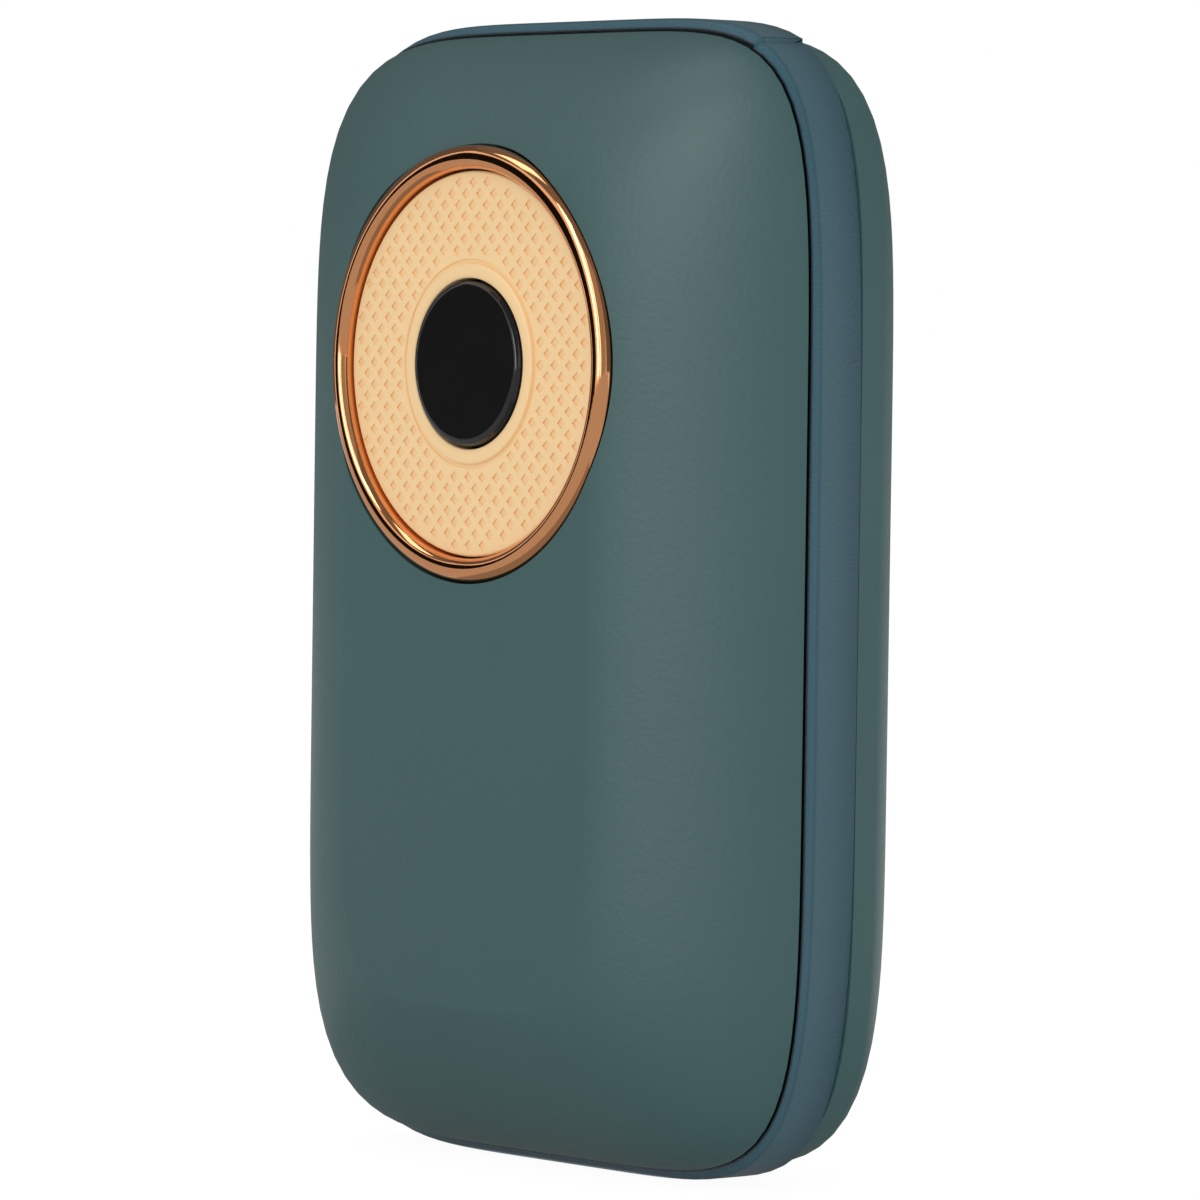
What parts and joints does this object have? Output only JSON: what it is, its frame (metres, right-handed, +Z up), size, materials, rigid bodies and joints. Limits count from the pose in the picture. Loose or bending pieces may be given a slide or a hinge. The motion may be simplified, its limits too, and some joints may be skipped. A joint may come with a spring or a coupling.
{
  "type": "rechargeable hand warmer",
  "caption": "Slab-shaped rechargeable hand warmer: two pillowed covers on a middle band, with a round medallion control and press button at the top of the front.",
  "frame": {"origin": "bottom centre of the overall box; the warmer stands on the flat lower end of its middle frame, 0.275 mm behind the origin", "axes": "+X to the right seen from the front, +Y from the front with the button to the back, +Z up"},
  "size_m": [0.0706, 0.0324, 0.1082],
  "materials": {
    "cover_paint": "satin painted, dark green",
    "frame_paint": "satin painted, dark blue-green, fine grain",
    "rose_gold": "mirror-bright rose gold plating",
    "cream_plastic": "satin cream",
    "black_gloss": "polished black, lets the light display shine through",
    "black_plastic": "moulded black",
    "grey_plastic": "moulded grey",
    "board_green": "solder mask",
    "steel": "bright steel",
    "nickel": "nickel strip",
    "aluminium": "plain sheet",
    "amber_film": "amber polyimide film",
    "white_foam": "soft foam",
    "cell_wrap": "blue shrink wrap",
    "red_wire": "insulation",
    "black_wire": "insulation",
    "white_wire": "insulation"
  },
  "bodies": {
    "body": {"front_cover": "cover_paint", "back_cover": "cover_paint", "mid_frame": "frame_paint", "top_end_plate": "frame_paint", "trim_ring": "rose_gold", "grip_disc": "cream_plastic", "tact_switch": "steel", "display_board": "board_green", "led_display": "black_plastic", "display_ribbon": "white_wire", "inner_chassis": "grey_plastic", "main_board": "board_green", "usb_c_shell": "steel", "usb_c_tongue": "black_plastic", "ribbon_connector": "white_wire", "inductor": "black_plastic", "charge_chip": "black_plastic", "heater_driver_chip": "black_plastic", "store_capacitor": "cream_plastic", "battery_cell_left": "cell_wrap", "battery_cell_right": "cell_wrap", "cell_strip_top": "nickel", "cell_strip_bottom": "nickel", "front_heat_plate": "aluminium", "front_heater_film": "amber_film", "front_foam_pad": "white_foam", "back_heat_plate": "aluminium", "back_heater_film": "amber_film", "back_foam_pad": "white_foam", "battery_lead_red": "red_wire", "battery_lead_black": "black_wire", "front_heater_lead_1": "white_wire", "front_heater_lead_2": "white_wire", "back_heater_lead_1": "white_wire", "back_heater_lead_2": "white_wire", "thermistor": "black_plastic", "thermistor_lead": "white_wire", "chassis_screw_1": "steel", "chassis_screw_2": "steel", "chassis_screw_3": "steel", "chassis_screw_4": "steel", "board_screw_1": "steel", "board_screw_2": "steel", "display_screw_1": "steel", "display_screw_2": "steel", "display_screw_3": "steel"},
    "button": {"power_button": "black_gloss", "switch_plunger": "black_plastic"}
  },
  "joints": [
    {"name": "button_press", "type": "slide", "parent": "body", "child": "button", "axis": [0, 1, 0], "range_m": [0, 0.0005], "stiffness_N_per_m": 1500}
  ]
}
